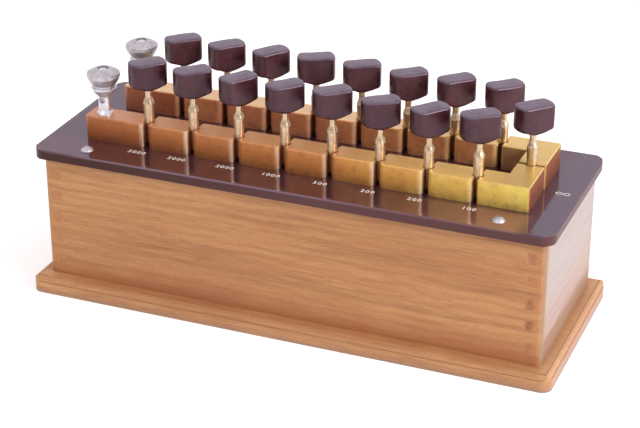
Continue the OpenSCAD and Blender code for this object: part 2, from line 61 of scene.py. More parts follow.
# ---- node helper -----------------------------------------------------------
class Graph:
    """A small helper for building a material's nodes."""

    def __init__(self, name):
        self.mat = bpy.data.materials.new(name)
        self.mat.use_nodes = True
        self.nt = self.mat.node_tree
        self.nt.nodes.clear()
        self.out = self.nt.nodes.new("ShaderNodeOutputMaterial")
        self.bsdf = self.nt.nodes.new("ShaderNodeBsdfPrincipled")
        self.nt.links.new(self.bsdf.outputs["BSDF"], self.out.inputs["Surface"])
        self.coord = self.nt.nodes.new("ShaderNodeTexCoord")
        self.geo = self.nt.nodes.new("ShaderNodeNewGeometry")

    def put(self, socket, value):
        if hasattr(value, "links"):
            self.nt.links.new(value, socket)
        else:
            socket.default_value = value

    def shader(self, **values):
        for key, value in values.items():
            self.put(self.bsdf.inputs[key.replace("_", " ")], value)

    def mapping(self, scale=(1, 1, 1), rot=(0, 0, 0), loc=(0, 0, 0), vec=None):
        n = self.nt.nodes.new("ShaderNodeMapping")
        self.put(n.inputs["Vector"], vec or self.coord.outputs["Object"])
        n.inputs["Scale"].default_value = scale
        n.inputs["Rotation"].default_value = rot
        n.inputs["Location"].default_value = loc
        return n.outputs["Vector"]

    def noise(self, vec, scale=1.0, detail=4.0, rough=0.55, distort=0.0, kind="FBM"):
        n = self.nt.nodes.new("ShaderNodeTexNoise")
        n.noise_type = kind
        self.put(n.inputs["Vector"], vec)
        n.inputs["Scale"].default_value = scale
        n.inputs["Detail"].default_value = detail
        n.inputs["Roughness"].default_value = rough
        n.inputs["Distortion"].default_value = distort
        return n.outputs["Fac"]

    def noise_vec(self, vec, scale=1.0, detail=2.0):
        n = self.nt.nodes.new("ShaderNodeTexNoise")
        self.put(n.inputs["Vector"], vec)
        n.inputs["Scale"].default_value = scale
        n.inputs["Detail"].default_value = detail
        return n.outputs["Color"]

    def voronoi(self, vec, scale=1.0, feature="F1"):
        n = self.nt.nodes.new("ShaderNodeTexVoronoi")
        n.feature = feature
        self.put(n.inputs["Vector"], vec)
        n.inputs["Scale"].default_value = scale
        return n.outputs["Distance"]

    def wave(self, vec, scale=1.0, distort=0.0, detail=2.0, dscale=1.0, direction="X"):
        n = self.nt.nodes.new("ShaderNodeTexWave")
        n.bands_direction = direction
        self.put(n.inputs["Vector"], vec)
        n.inputs["Scale"].default_value = scale
        n.inputs["Distortion"].default_value = distort
        n.inputs["Detail"].default_value = detail
        n.inputs["Detail Scale"].default_value = dscale
        return n.outputs["Fac"]

    def ramp(self, fac, stops):
        n = self.nt.nodes.new("ShaderNodeValToRGB")
        self.put(n.inputs["Fac"], fac)
        els = n.color_ramp.elements
        while len(els) < len(stops):
            els.new(0.5)
        for e, (pos, col) in zip(els, stops):
            e.position = pos
            e.color = (*col, 1) if hasattr(col, "__len__") else (col, col, col, 1)
        return n.outputs["Color"]

    def mix(self, fac, a, b, mode="MIX"):
        n = self.nt.nodes.new("ShaderNodeMix")
        n.data_type = "RGBA"
        n.blend_type = mode
        self.put(n.inputs[0], fac)
        self.put(n.inputs[6], (*a, 1) if isinstance(a, tuple) and len(a) == 3 else a)
        self.put(n.inputs[7], (*b, 1) if isinstance(b, tuple) and len(b) == 3 else b)
        return n.outputs[2]

    def math(self, op, a, b=0.0, clamp=False):
        n = self.nt.nodes.new("ShaderNodeMath")
        n.operation = op
        n.use_clamp = clamp
        self.put(n.inputs[0], a)
        self.put(n.inputs[1], b)
        return n.outputs[0]

    def span(self, value, a, b, to_a=0.0, to_b=1.0):
        n = self.nt.nodes.new("ShaderNodeMapRange")
        n.clamp = True
        self.put(n.inputs["Value"], value)
        n.inputs["From Min"].default_value = a
        n.inputs["From Max"].default_value = b
        n.inputs["To Min"].default_value = to_a
        n.inputs["To Max"].default_value = to_b
        return n.outputs["Result"]

    def split(self, vec):
        n = self.nt.nodes.new("ShaderNodeSeparateXYZ")
        self.put(n.inputs[0], vec)
        return n.outputs

    def join(self, x, y, z):
        n = self.nt.nodes.new("ShaderNodeCombineXYZ")
        for s, v in zip(n.inputs, (x, y, z)):
            self.put(s, v)
        return n.outputs[0]

    def bump(self, height, strength=0.3, distance=0.0002, normal=None):
        n = self.nt.nodes.new("ShaderNodeBump")
        self.put(n.inputs["Height"], height)
        n.inputs["Strength"].default_value = strength
        n.inputs["Distance"].default_value = distance
        if normal is not None:
            self.put(n.inputs["Normal"], normal)
        return n.outputs["Normal"]

    def edge(self, radius_mm=0.35):
        """1 along the edges, 0 on the flats: how far a rounded normal leans."""
        n = self.nt.nodes.new("ShaderNodeBevel")
        n.samples = 4
        n.inputs["Radius"].default_value = radius_mm * MM
        d = self.nt.nodes.new("ShaderNodeVectorMath")
        d.operation = "DOT_PRODUCT"
        self.put(d.inputs[0], n.outputs[0])
        self.put(d.inputs[1], self.geo.outputs["Normal"])
        return self.span(d.outputs["Value"], 0.70, 0.985, 1.0, 0.0)


# ---- materials --------------------------------------------------------------
def wood(name, grain="X", seed=0.0, tint=(1, 1, 1), end_marks_and_highlight=False, painted_sheen=0.0, foot=False):
    """Orange-tan varnished hardwood; the grain runs along X or Y."""
    g = Graph(name)

    def tone(r, gr, b):
        return (r * tint[0], gr * tint[1], b * tint[2])

    turn = (0, 0, 0) if grain == "X" else (0, 0, math.radians(90))
    base = g.mapping(rot=turn, loc=(seed, seed * 0.37, seed * 0.71))
    # slow drift of the annual figure across the board
    warp = g.noise_vec(g.mapping(scale=(3, 14, 14), vec=base), 1.0, 2.0)
    add = g.nt.nodes.new("ShaderNodeVectorMath")
    add.operation = "MULTIPLY_ADD"
    g.put(add.inputs[0], warp)
    add.inputs[1].default_value = (0.004, 0.012, 0.012)
    g.put(add.inputs[2], base)
    bent = add.outputs[0]
    rings = g.wave(g.mapping(scale=(0.6, 1, 1), vec=bent), 62.0, 5.0, 3.0, 1.2, "Z")
    rings = g.mix(0.35, rings, g.wave(g.mapping(scale=(0.5, 1, 1), vec=bent), 47.0, 6.0, 2.0, 1.0, "Y"))
    broad = g.noise(g.mapping(scale=(5, 30, 30), vec=bent), 1.0, 4.0, 0.6)
    band = g.noise(g.mapping(scale=(2.2, 105, 105), vec=bent), 1.0, 3.0, 0.55)
    fibre = g.noise(g.mapping(scale=(55, 1300, 1300), vec=bent), 1.0, 5.0, 0.62)
    streak = g.noise(g.mapping(scale=(14, 420, 420), vec=bent), 1.0, 4.0, 0.6)
    fleck = g.noise(g.mapping(scale=(330, 620, 620), vec=base), 1.0, 3.0, 0.6)
    pores = g.voronoi(g.mapping(scale=(190, 1900, 1900), vec=bent), 1.0)
    light = tone(0.50, 0.225, 0.086)
    mid = tone(0.43, 0.175, 0.062)
    dark = tone(0.29, 0.098, 0.033)
    col = g.ramp(broad, [(0.28, dark), (0.45, mid), (0.68, light)])
    col = g.mix(g.span(band, 0.50, 0.68, 0.0, 0.55), col, tone(0.27, 0.090, 0.030))
    col = g.mix(g.span(rings, 0.35, 0.95, 0.0, 0.34), col, tone(0.28, 0.095, 0.033))
    col = g.mix(g.span(streak, 0.50, 0.70, 0.0, 0.50), col, tone(0.26, 0.086, 0.030))
    col = g.mix(g.span(fibre, 0.40, 0.66, 0.0, 0.38), col, tone(0.60, 0.30, 0.13))
    col = g.mix(g.span(fleck, 0.52, 0.74, 0.0, 0.30), col, tone(0.28, 0.100, 0.040))
    col = g.mix(g.span(pores, 0.05, 0.20, 0.5, 0.0), col, tone(0.14, 0.045, 0.016))
    # end grain where the surface faces along the grain
    n = g.split(g.geo.outputs["Normal"])
    along = g.math("ABSOLUTE", n[0] if grain == "X" else n[1])
    facing = g.span(along, 0.80, 0.95)
    end_noise = g.noise(g.mapping(scale=(900, 900, 900), vec=base), 1.0, 3.0, 0.6)
    end_rings = g.wave(g.mapping(scale=(1, 1, 1), vec=bent), 240.0, 4.0, 2.0, 1.0, "Z")
    end = g.mix(g.span(end_noise, 0.35, 0.7), tone(0.39, 0.155, 0.057), tone(0.49, 0.215, 0.085))
    end = g.mix(g.span(end_rings, 0.4, 0.9, 0.0, 0.18), end, tone(0.31, 0.115, 0.041))
    pos = g.split(g.coord.outputs["Object"])
    if end_marks_and_highlight:
        # a dark mark where each finger meets the long board
        far = g.math("ABSOLUTE", pos[0])
        mark_noise = g.noise(g.mapping(scale=(170, 170, 120), vec=base), 1.0, 3.0, 0.6)
        deep = g.math("MULTIPLY", g.span(far, 0.1178, 0.1190), g.span(far, 0.1204, 0.1222, 1.0, 0.0))
        deep = g.math("MULTIPLY", deep, g.span(mark_noise, 0.34, 0.54))
        deep = g.math("MULTIPLY", deep, g.span(pos[0], -0.1, 0.1, 0.2, 1.0))
        deep = g.math("MULTIPLY", deep, g.span(pos[2], 0.032, 0.048, 1.0, 0.35))
        deep = g.math("MULTIPLY", deep, g.span(pos[2], 0.020, 0.0235, 0.6, 1.0))
        end = g.mix(g.math("MULTIPLY", deep, 0.84), end, (0.15, 0.044, 0.030))
        # painted highlight along the very corner
        corner_highlight = g.span(far, 0.1227, 0.1252)
        end = g.mix(g.math("MULTIPLY", corner_highlight, 0.22), end, tone(0.56, 0.30, 0.130))
    col = g.mix(facing, col, end)
    # dirt settled low on the box
    grime = g.noise(g.mapping(scale=(22, 22, 60)), 1.0, 4.0, 0.6)
    low = g.math("MULTIPLY", g.span(pos[2], 0.006, 0.026, 1.0, 0.0), g.span(grime, 0.40, 0.66))
    col = g.mix(g.math("MULTIPLY", low, 0.22), col, tone(0.27, 0.090, 0.032))
    if grain == "X" and painted_sheen and not foot:
        # red varnish has run down and gathered along the foot of the long boards
        run = g.noise(g.mapping(scale=(16, 16, 34), loc=(1.3, 0, 0)), 1.0, 3.0, 0.55)
        edge = g.math("ADD", pos[2], g.span(run, 0.3, 0.7, 0.004, -0.004))
        run = g.math("MULTIPLY", g.span(edge, 0.0105, 0.0230, 1.0, 0.0), g.span(run, 0.32, 0.55, 0.35, 1.0))
        col = g.mix(g.math("MULTIPLY", run, 0.44), col, (0.34, 0.095, 0.038))
    if foot:
        # grey dust and painted shade along the arris it stands on
        dust_and_shade = g.math("MULTIPLY", g.span(pos[2], 0.0008, 0.0026, 1.0, 0.0), g.span(grime, 0.25, 0.55, 0.6, 1.0))
        col = g.mix(g.math("MULTIPLY", dust_and_shade, 0.62), col, (0.26, 0.165, 0.125))
        # varnish gathered on the ledge, less at the ends
        pool = g.math("MULTIPLY", g.span(n[2], 0.5, 0.9), g.span(grime, 0.35, 0.65, 0.3, 1.0))
        pool = g.math("MULTIPLY", pool, g.span(g.math("ABSOLUTE", pos[0]), 0.105, 0.125, 0.32, 0.0))
        col = g.mix(pool, col, (0.34, 0.105, 0.042))
        # painted highlight on the sloped ledge at the lit end
        ledge_highlight = g.math("MULTIPLY", g.span(pos[0], 0.1255, 0.1285), g.span(n[2], 0.2, 0.8))
        col = g.mix(g.math("MULTIPLY", ledge_highlight, 0.36), col, (0.66, 0.40, 0.21))
        # the narrow lines of the moulding are painted pale: painted light that lifts the shade in them
        inset = g.math("MAXIMUM", g.math("SUBTRACT", g.math("ABSOLUTE", pos[0]), 0.1330),
                       g.math("SUBTRACT", g.math("ABSOLUTE", pos[1]), 0.0518))
        line = g.math("MULTIPLY", g.span(inset, -0.00335, -0.00315), g.span(inset, -0.00245, -0.00225, 1.0, 0.0))
        line = g.math("MULTIPLY", line, g.span(pos[2], 0.0080, 0.0083, 1.0, 0.0))
        quirk_light = g.math("MULTIPLY", g.span(pos[2], 0.0054, 0.0055), g.span(pos[2], 0.0060, 0.0061, 1.0, 0.0))
        quirk_light = g.math("MULTIPLY", quirk_light, g.span(inset, -0.0003, -0.0001, 1.0, 0.0))
        col = g.mix(g.math("MAXIMUM", g.math("MULTIPLY", line, 0.52), g.math("MULTIPLY", quirk_light, 0.34)), col, (0.80, 0.52, 0.31))
    # rubbed edges are paler
    rub_and_highlight = g.math("MULTIPLY", g.edge(), g.span(grime, 0.35, 0.6))
    col = g.mix(g.math("MULTIPLY", rub_and_highlight, 0.5), col, tone(0.66, 0.38, 0.18))
    if painted_sheen:
        # painted sheen: the outer face is painted a pale grey haze standing in for the washed-out sheen on it,
        # less so in the strip along its front corner
        out = g.math("MULTIPLY", g.span(n[0], 0.94, 0.99), g.span(grime, 0.2, 0.7, 0.86, 1.0))
        if not foot:
            out = g.math("MULTIPLY", out, g.span(pos[1], -0.0420, -0.0375, 0.50, 1.0))
        sheen_fade = g.span(pos[2], 0.012, 0.045, 0.58, 1.0)
        out = g.math("MULTIPLY", out, sheen_fade)
        haze = g.mix(g.span(streak, 0.4, 0.7), (0.355, 0.305, 0.295), (0.295, 0.240, 0.225))
        haze = g.mix(g.span(fibre, 0.4, 0.66, 0.0, 0.5), haze, (0.39, 0.35, 0.345))
        col = g.mix(g.math("MULTIPLY", out, painted_sheen), col, haze)
        if not foot:
            # a darker brown band along the foot of the outer face, below the painted sheen
            edge = g.math("ADD", pos[2], g.span(grime, 0.3, 0.7, -0.0012, 0.0012))
            band = g.math("MULTIPLY", g.span(edge, 0.0178, 0.0212, 1.0, 0.0), g.span(n[0], 0.9, 0.98))
            foot_brown = g.mix(g.span(streak, 0.4, 0.7), (0.285, 0.155, 0.090), (0.235, 0.120, 0.066))
            col = g.mix(g.math("MULTIPLY", band, 0.95), col, foot_brown)
            # and its front corner is a duller tan
            tan = g.math("MULTIPLY", g.span(pos[1], -0.0425, -0.0395, 0.85, 0.0), g.span(pos[0], 0.1250, 0.1256))
            col = g.mix(tan, col, (0.27, 0.185, 0.112))
    rough = g.math("ADD", g.span(fibre, 0.3, 0.7, 0.46, 0.60), g.span(pores, 0.05, 0.20, 0.12, 0.0))
    h = g.math("ADD", g.math("MULTIPLY", fibre, 0.6), g.span(pores, 0.03, 0.16, 0.0, 0.5))
    nrm = g.bump(h, 0.30, 0.00012)
    g.shader(Base_Color=col, Roughness=rough, Normal=nrm)
    g.bsdf.inputs["Specular IOR Level"].default_value = 0.35
    g.bsdf.inputs["Coat Weight"].default_value = 0.12
    g.bsdf.inputs["Coat Roughness"].default_value = 0.32
    g.bsdf.inputs["Coat IOR"].default_value = 1.45
    return g.mat


def panel_ebonite():
    """Rubbed hard rubber, slate under the light, with scratches and a little dust."""
    g = Graph("ebonite_panel")
    haze = g.noise(g.mapping(scale=(30, 30, 30)), 1.0, 4.0, 0.6)
    fine = g.noise(g.mapping(scale=(900, 900, 900)), 1.0, 3.0, 0.6)
    patch = g.noise(g.mapping(scale=(90, 90, 90), loc=(3, 1, 2)), 1.0, 4.0, 0.6)
    scr_a = g.noise(g.mapping(scale=(40, 2600, 400), rot=(0, 0, 0.12)), 1.0, 2.0, 0.5)
    scr_b = g.noise(g.mapping(scale=(2400, 60, 400), rot=(0, 0, 0.5)), 1.0, 2.0, 0.5)
    col = g.mix(g.span(haze, 0.3, 0.7), (0.028, 0.009, 0.013), (0.042, 0.015, 0.022))
    col = g.mix(g.span(patch, 0.50, 0.72, 0.0, 0.5), col, (0.058, 0.030, 0.040))
    dust = g.math("MULTIPLY", g.span(fine, 0.60, 0.75), g.span(haze, 0.40, 0.65))
    col = g.mix(g.math("MULTIPLY", dust, 0.30), col, (0.16, 0.13, 0.15))
    up = g.span(g.split(g.geo.outputs["Normal"])[2], 0.3, 0.8)
    # the sawn edges have gone brown; the strip in front of the
    # blocks is painted brown as a painted reflection of the brass, more towards the end blocks
    pos = g.split(g.coord.outputs["Object"])
    sawn = g.mix(g.span(pos[0], -0.09, 0.02), (0.046, 0.016, 0.008), (0.090, 0.038, 0.033))
    col = g.mix(g.math("MULTIPLY", g.math("SUBTRACT", 1.0, up), 0.9), col, sawn)
    strip_reflection = g.math("MULTIPLY", g.span(pos[1], -0.0301, -0.0278, 1.0, 0.0), g.span(pos[0], 0.045, 0.095, 0.10, 1.0))
    strip_reflection = g.math("MULTIPLY", strip_reflection, g.span(pos[0], 0.1105, 0.1175, 1.0, 0.0))
    strip_reflection = g.math("MULTIPLY", g.math("MULTIPLY", strip_reflection, up), g.span(haze, 0.3, 0.6, 0.50, 0.75))
    col = g.mix(strip_reflection, col, (0.26, 0.110, 0.070))
    # painted highlight along the top arris of the front edge
    arris_highlight = g.math("MULTIPLY", g.edge(0.85), g.span(pos[2], 0.0735, 0.0742))
    col = g.mix(g.math("MULTIPLY", arris_highlight, 0.80), col, (0.27, 0.180, 0.190))
    # painted sheen: a pale lavender veil on the clear strip at the lit end
    clear = g.math("MULTIPLY", g.span(pos[0], 0.112, 0.119), up)
    col = g.mix(g.math("MULTIPLY", clear, g.span(patch, 0.3, 0.6, 0.55, 0.95)), col, (0.047, 0.032, 0.047))
    marks = g.math("MAXIMUM", g.span(scr_a, 0.66, 0.72), g.span(scr_b, 0.68, 0.74))
    rough = g.math("ADD", g.span(haze, 0.3, 0.7, 0.06, 0.12), g.math("MULTIPLY", marks, 0.12))
    rough = g.math("MAXIMUM", rough, g.span(up, 0.0, 1.0, 0.42, 0.0))
    nrm = g.bump(g.math("ADD", g.math("MULTIPLY", marks, 0.3), g.math("MULTIPLY", haze, 0.5)), 0.08, 0.00005)
    g.shader(Base_Color=col, Roughness=rough, Normal=nrm, Specular_IOR_Level=g.span(up, 0.0, 1.0, 0.14, 0.5))
    g.bsdf.inputs["IOR"].default_value = 1.70
    g.bsdf.inputs["Specular Tint"].default_value = (1.0, 0.72, 0.97, 1)
    return g.mat


def grip_ebonite():
    """Moulded hard rubber: duller than the panel, brown where handled."""
    g = Graph("ebonite_grip")
    rand = g.nt.nodes.new("ShaderNodeObjectInfo").outputs["Random"]
    haze = g.noise(g.mapping(scale=(160, 160, 160)), 1.0, 4.0, 0.6)
    fine = g.noise(g.mapping(scale=(1500, 1500, 1500)), 1.0, 4.0, 0.6)
    hair = g.noise(g.mapping(scale=(300, 3800, 700), rot=(0.2, 0.1, 0.4)), 1.0, 2.0, 0.5)
    a = g.mix(rand, (0.038, 0.008, 0.011), (0.050, 0.011, 0.014))
    col = g.mix(g.span(haze, 0.35, 0.68), a, (0.070, 0.024, 0.028))
    col = g.mix(g.span(g.split(g.coord.outputs["Object"])[1], -0.006, 0.006, 0.30, 0.0), col, (0.016, 0.003, 0.004))
    # dust and a painted sheen grey the tops
    up = g.span(g.split(g.geo.outputs["Normal"])[2], 0.25, 0.75)
    dust_and_sheen = g.mix(g.span(haze, 0.35, 0.65), (0.085, 0.056, 0.082), (0.128, 0.092, 0.128))
    col = g.mix(up, col, dust_and_sheen)
    col = g.mix(g.span(hair, 0.66, 0.74, 0.0, 0.30), col, (0.080, 0.055, 0.065))
    rough = g.math("ADD", g.span(haze, 0.3, 0.7, 0.24, 0.36), g.span(hair, 0.64, 0.74, 0.0, 0.10))
    h = g.math("ADD", g.math("MULTIPLY", fine, 0.5), g.math("MULTIPLY", haze, 1.0))
    nrm = g.bump(h, 0.20, 0.00012)
    g.shader(Base_Color=col, Roughness=rough, Normal=nrm)
    g.bsdf.inputs["IOR"].default_value = 1.5
    g.bsdf.inputs["Specular IOR Level"].default_value = 0.44
    g.bsdf.inputs["Specular Tint"].default_value = (0.95, 0.78, 0.92, 1)
    return g.mat


def block_brass(name, seed=0.0, red=1.0, gain=1.0, body=1.0, front_reflection_and_shade=0.0, rub_and_highlight=0.75):
    """Lacquered brass: brown-orange towards the terminals, yellow at the far end."""
    g = Graph(name)
    pos = g.split(g.coord.outputs["Object"])
    n = g.split(g.geo.outputs["Normal"])
    drift = g.noise(g.mapping(scale=(26, 26, 26), loc=(seed, 0, 0)), 1.0, 3.0, 0.6)
    along = g.math("ADD", g.span(pos[0], -0.115, 0.112), g.span(drift, 0.3, 0.7, -0.08, 0.08))
    shades = [(0.0, (0.52, 0.165, 0.055)), (0.30, (0.65, 0.240, 0.074)), (0.58, (0.74, 0.290, 0.078)),
              (0.76, (0.90, 0.50, 0.105)), (0.92, (0.98, 0.76, 0.165))]
    col = g.ramp(along, [(p, (min(0.97, c[0] * gain), c[1] * gain * red, c[2] * gain * red)) for p, c in shades])
    cloud = g.noise(g.mapping(scale=(240, 240, 240), loc=(0, seed, 0)), 1.0, 5.0, 0.62)
    col = g.mix(g.span(cloud, 0.50, 0.76, 0.0, 0.38), col, (0.36, 0.125, 0.042))
    spot = g.noise(g.mapping(scale=(900, 900, 900), loc=(0, 0, seed)), 1.0, 3.0, 0.6)
    col = g.mix(g.span(spot, 0.62, 0.72, 0.0, 0.45), col, (0.24, 0.085, 0.034))
    # tops: paler towards the terminals from wear and a painted sheen, duller at the far end
    up = g.span(n[2], 0.7, 0.95)
    pale = g.mix(g.span(pos[0], -0.09, 0.06), (0.66, 0.34, 0.155), (0.74, 0.46, 0.125))
    pale = g.mix(g.span(pos[0], 0.088, 0.100), pale, (0.60, 0.35, 0.095))
    if front_reflection_and_shade:
        pale = g.mix(g.span(pos[0], 0.04, 0.10, 0.90, 0.0), pale, (0.86, 0.60, 0.30))
    col = g.mix(g.math("MULTIPLY", up, g.span(pos[0], 0.088, 0.100, 0.55 + 0.35 * bool(front_reflection_and_shade), 0.75)), col, pale)
    # painted reflection: the rear row's front faces are painted redder for the front row's brass reflected in them,
    # and darker on the inner face of the end block, painted shade
    if front_reflection_and_shade:
        front = g.math("MULTIPLY", g.span(n[1], -0.95, -0.7, 1.0, 0.0), front_reflection_and_shade)
        refl_a = g.mix(g.span(pos[0], -0.0815, -0.0793), (0.50, 0.16, 0.075), (0.92, 0.38, 0.175))
        refl_b = g.mix(g.span(pos[0], -0.0815, -0.0793), (0.40, 0.13, 0.065), (0.70, 0.26, 0.120))
        refl_a = g.mix(g.span(pos[0], 0.0850, 0.0864), refl_a, (0.46, 0.200, 0.120))
        refl_b = g.mix(g.span(pos[0], 0.0850, 0.0864), refl_b, (0.38, 0.150, 0.090))
        col = g.mix(front, col, g.mix(g.span(cloud, 0.4, 0.65), refl_a, refl_b))
    # the narrow faces in the gaps are never polished, nor the far end
    across = g.span(g.math("ABSOLUTE", n[0]), 0.93, 0.985)
    far_end = g.span(pos[0], 0.1095, 0.1105)
    dull = g.mix(far_end, (0.34, 0.125, 0.050), (0.46, 0.085, 0.026))
    col = g.mix(g.math("MULTIPLY", across, 0.85), col, dull)
    low = g.math("MULTIPLY", g.span(pos[2], 0.0758, 0.0795, 1.0, 0.0), g.span(cloud, 0.35, 0.6))
    col = g.mix(g.math("MULTIPLY", low, 0.45), col, (0.20, 0.070, 0.030))
    # painted highlight on the rounded front corner of each block
    turn = g.math("MULTIPLY", g.span(n[0], 0.15, 0.55), g.span(n[0], 0.90, 0.97, 1.0, 0.0))
    turn = g.math("MULTIPLY", turn, g.math("MULTIPLY", g.span(n[1], -0.2, -0.4), g.span(n[2], 0.1, 0.3, 1.0, 0.0)))
    turn = g.math("MULTIPLY", turn, g.span(drift, 0.35, 0.65, 0.35 * rub_and_highlight, rub_and_highlight))
    turn = g.math("MULTIPLY", turn, g.span(pos[0], 0.098, 0.106, 1.0, 0.0))
    col = g.mix(turn, col, (0.97, 0.78, 0.56))
    # except at the far end, where it has gone brown like the face beside it
    brown = g.math("MULTIPLY", g.span(pos[0], 0.1070, 0.1085), g.span(n[0], 0.35, 0.75))
    col = g.mix(g.math("MULTIPLY", brown, g.span(n[2], 0.2, 0.5, 0.8, 0.0)), col, (0.40, 0.115, 0.035))
    wear = g.math("MULTIPLY", g.edge(), g.span(across, 0.0, 1.0, 0.40, 0.14))
    wear = g.math("MULTIPLY", wear, g.span(pos[0], 0.088, 0.106, 1.0, 0.35))
    col = g.mix(wear, col, (0.93, 0.80, 0.52))
    # painted shade on the small chamfers of the yellow blocks
    cham_shade = g.math("MULTIPLY", g.span(n[2], 0.3, 0.6), g.span(n[2], 0.80, 0.95, 1.0, 0.0))
    cham_shade = g.math("MULTIPLY", cham_shade, g.span(pos[0], 0.03, 0.09, 0.0, 0.65))
    col = g.mix(cham_shade, col, (0.58, 0.36, 0.10))
    brush = g.noise(g.mapping(scale=(70, 2600, 2600)), 1.0, 4.0, 0.6)
    swirl = g.noise(g.mapping(scale=(1200, 200, 1200), rot=(0.3, 0.7, 0.2)), 1.0, 3.0, 0.5)
    rough = g.math("ADD", g.span(brush, 0.3, 0.7, 0.44, 0.56), g.span(cloud, 0.42, 0.75, 0.0, 0.12))
    h = g.math("ADD", g.math("MULTIPLY", brush, 0.7), g.math("MULTIPLY", swirl, 0.3))
    nrm = g.bump(h, 0.16, 0.00006)
    # old lacquer has clouded where the brass is yellowest
    metal = g.math("MULTIPLY", g.span(pos[0], 0.0, 0.10, 1.0, 0.70), body)
    metal = g.math("MAXIMUM", metal, across)
    metal = g.math("MULTIPLY", metal, g.span(g.math("SUBTRACT", across, far_end), 0.0, 1.0, 1.0, 0.5))
    g.shader(Base_Color=col, Metallic=metal, Roughness=rough, Normal=nrm)
    g.bsdf.inputs["Coat Weight"].default_value = 0.6
    g.bsdf.inputs["Coat Roughness"].default_value = 0.30
    return g.mat


def turned_metal(name, base, tint, rough_a, rough_b, ring_scale=2600.0, mouth_dark_z=None, metallic=1.0, gap_shade_z=None):
    """Lathe-turned metal: fine rings up its height and a mottled plate."""
    g = Graph(name)
    cloud = g.noise(g.mapping(scale=(420, 420, 420)), 1.0, 5.0, 0.6)
    rings = g.noise(g.mapping(scale=(30, 30, ring_scale)), 1.0, 3.0, 0.6)
    pits = g.noise(g.mapping(scale=(2600, 2600, 2600)), 1.0, 2.0, 0.5)
    col = g.mix(g.span(cloud, 0.35, 0.7), base, tint)
    col = g.mix(g.span(pits, 0.64, 0.74, 0.0, 0.5), col, tuple(0.35 * c for c in tint))
    if mouth_dark_z is not None:
        # the thread in the mouth of each nut is painted near black
        pos = g.split(g.coord.outputs["Object"])
        dx = g.math("SUBTRACT", pos[0], TERM_X * MM)
        dy = g.math("MINIMUM", g.math("ABSOLUTE", g.math("SUBTRACT", pos[1], ROW_F * MM)),
                    g.math("ABSOLUTE", g.math("SUBTRACT", pos[1], ROW_R * MM)))
        far = g.math("SQRT", g.math("ADD", g.math("MULTIPLY", dx, dx), g.math("MULTIPLY", dy, dy)))
        mouth = g.math("MULTIPLY", g.span(far, 0.0024, 0.0029, 1.0, 0.0), g.span(pos[2], mouth_dark_z, mouth_dark_z + 0.0004))
        col = g.mix(g.math("MULTIPLY", mouth, 0.85), col, (0.06, 0.05, 0.06))
    if gap_shade_z is not None:
        # painted shade: the taper below the block tops, down in the gap between the blocks, is painted brown
        low = g.span(g.split(g.coord.outputs["Object"])[2], gap_shade_z - 0.0008, gap_shade_z + 0.0004, 0.85, 0.0)
        col = g.mix(low, col, (0.20, 0.080, 0.040))
    rough = g.math("ADD", g.span(rings, 0.3, 0.7, rough_a, rough_b), g.span(cloud, 0.4, 0.8, 0.0, 0.10))
    nrm = g.bump(g.math("ADD", rings, g.math("MULTIPLY", pits, 0.4)), 0.16, 0.00006)
    g.shader(Base_Color=col, Metallic=metallic, Roughness=rough, Normal=nrm)
    return g.mat


def engraving():
    """Filled engraving: off-white paint with crumbled spots."""
    g = Graph("engraving_fill")
    n = g.noise(g.mapping(scale=(2500, 2500, 2500)), 1.0, 4.0, 0.6)
    col = g.mix(g.span(n, 0.52, 0.72), (0.80, 0.76, 0.72), (0.42, 0.37, 0.36))
    nrm = g.bump(n, 0.3, 0.00005)
    g.shader(Base_Color=col, Roughness=g.span(n, 0.3, 0.7, 0.6, 0.8), Normal=nrm)
    return g.mat


def winding_mat():
    """Silk-covered wire wound close, under shellac."""
    g = Graph("coil_silk")
    turns = g.wave(g.mapping(scale=(1, 1, 1)), 700.0, 0.15, 1.0, 1.0, "Z")
    n = g.noise(g.mapping(scale=(500, 500, 500)), 1.0, 4.0, 0.6)
    col = g.mix(turns, (0.05, 0.10, 0.045), (0.16, 0.26, 0.11))
    col = g.mix(g.span(n, 0.5, 0.7, 0.0, 0.4), col, (0.22, 0.16, 0.05))
    g.shader(Base_Color=col, Roughness=g.span(n, 0.3, 0.7, 0.35, 0.55), Normal=g.bump(turns, 0.8, 0.0003))
    return g.mat


W_LONG = wood("wood_long", "X", 0.0, (0.99, 1.05, 1.07), painted_sheen=0.9)
W_BACK = wood("wood_back", "X", 3.1, (0.97, 0.97, 0.97), painted_sheen=0.9)
W_LEFT = wood("wood_left", "Y", 5.7, end_marks_and_highlight=True)
W_RIGHT = wood("wood_right", "Y", 9.3, end_marks_and_highlight=True, painted_sheen=0.95)
W_BASE = wood("wood_plinth", "X", 7.9, (1.06, 1.19, 1.34), painted_sheen=0.58, foot=True)
W_BOB = wood("boxwood", "X", 1.3, (1.1, 1.2, 1.3))
EBONITE = panel_ebonite()
GRIP = grip_ebonite()
BRASS = block_brass("brass_blocks", 0.0)
# the rear row: a brighter copy of the brass, with painted reflection and painted shade on its front faces
BRASS_R = block_brass("brass_blocks_rear", 4.2, 0.95, 1.1, 0.6, 0.85, 0.4)
NICKEL = turned_metal("nickel", (0.65, 0.61, 0.64), (0.47, 0.43, 0.46), 0.44, 0.54, mouth_dark_z=(SEAT + 6.6) * MM)
POST = turned_metal("nickel_post", (0.83, 0.82, 0.89), (0.66, 0.65, 0.71), 0.40, 0.48)
PIN = turned_metal("pin_metal", (0.66, 0.502, 0.340), (0.545, 0.390, 0.248), 0.24, 0.34, metallic=0.85, gap_shade_z=TOP * MM)
INNER = turned_metal("inner_brass", (0.72, 0.52, 0.24), (0.52, 0.34, 0.13), 0.30, 0.42)
COPPER = turned_metal("lead_copper", (0.80, 0.42, 0.24), (0.60, 0.28, 0.15), 0.30, 0.42)
PAINT = engraving()
SILK = winding_mat()

